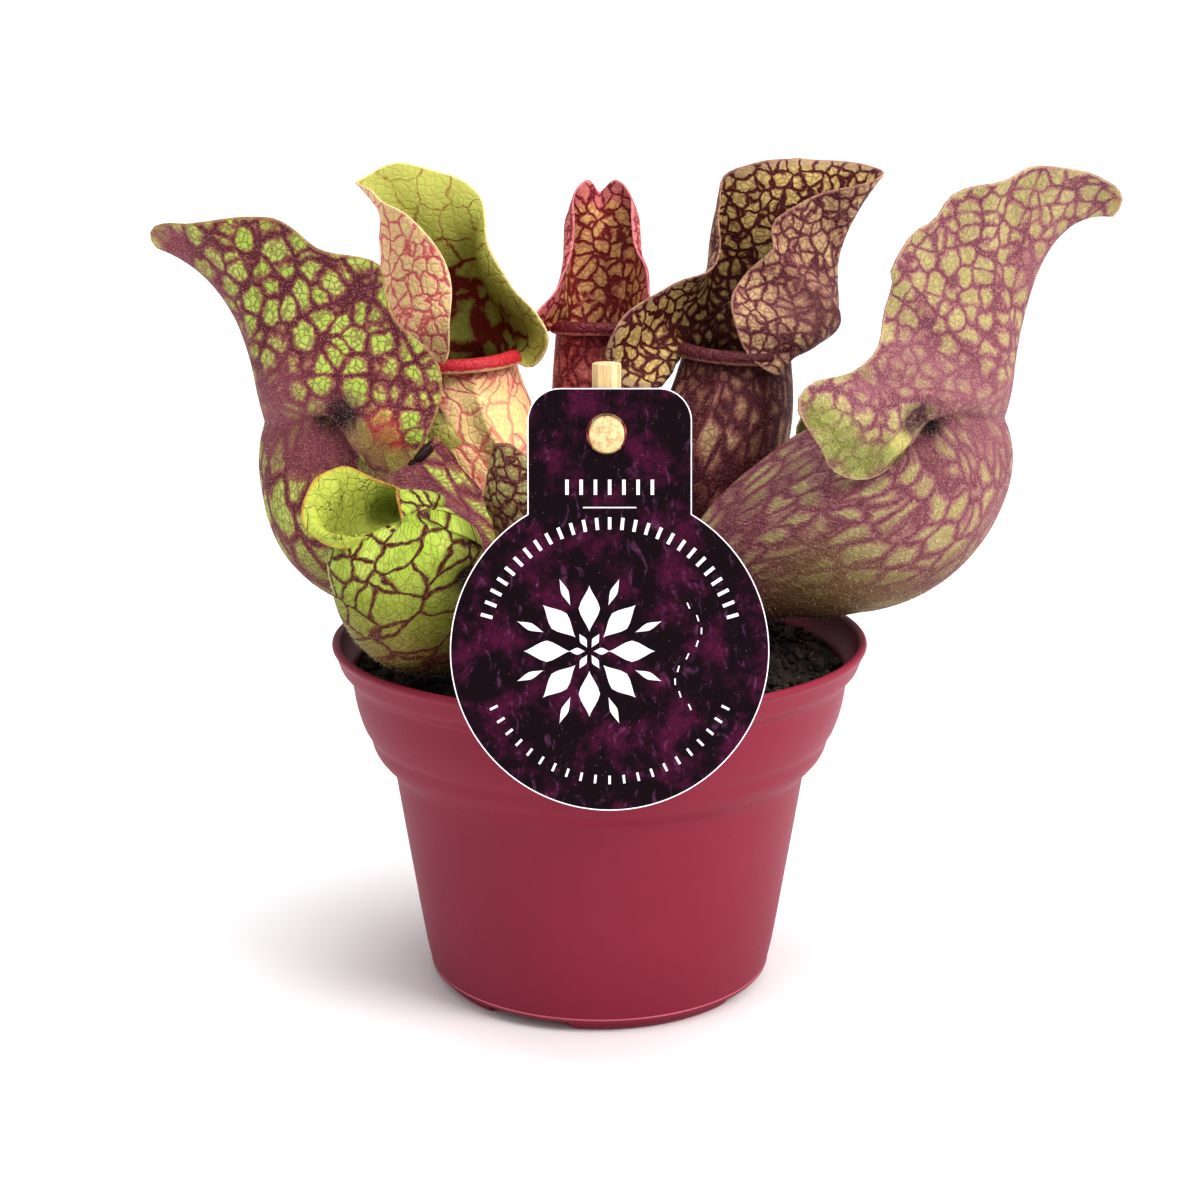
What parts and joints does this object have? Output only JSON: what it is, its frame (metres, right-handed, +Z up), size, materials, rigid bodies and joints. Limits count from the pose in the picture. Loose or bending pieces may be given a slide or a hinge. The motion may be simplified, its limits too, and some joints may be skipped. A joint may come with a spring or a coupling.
{
  "type": "potted pitcher plant",
  "caption": "Purple pitcher plant in a tapered nursery pot, with hooded hollow leaves round a crown in peat and a plain card tag hung on a wooden stake.",
  "frame": {"origin": "middle of the underside of the whole plant's bounding box, on the surface that the pot stands on", "axes": "+Z up; -Y faces the viewer and the tag's printed face; +X to the viewer's right. The pot's axis stands at x = -9.9 mm, y = -1.0 mm, because the leaves reach further to the right"},
  "size_m": [0.2108, 0.132, 0.1833],
  "materials": {
    "pot_plastic": "satin",
    "peat": "rough, dark and fibrous",
    "rhizome": "rough",
    "leaf_purple": "satin, purple-red veins over green",
    "leaf_pale": "satin, pale green with red veins",
    "leaf_pink": "satin, pink with dark red veins",
    "leaf_green": "satin, lime green with dark red veins",
    "tag_card": "coated card",
    "wood": "bare pale wood"
  },
  "bodies": {
    "root": {"pot": "pot_plastic", "soil": "peat", "rhizome": "rhizome", "tag_card": "tag_card", "tag_stake": "wood", "tag_peg": "wood", "pitcher_left": "leaf_purple", "pitcher_right": "leaf_purple", "pitcher_back_left": "leaf_pale", "pitcher_centre_back": "leaf_pink", "pitcher_back_right": "leaf_purple", "pitcher_front_small": "leaf_green", "pitcher_young": "leaf_green"}
  },
  "joints": []
}
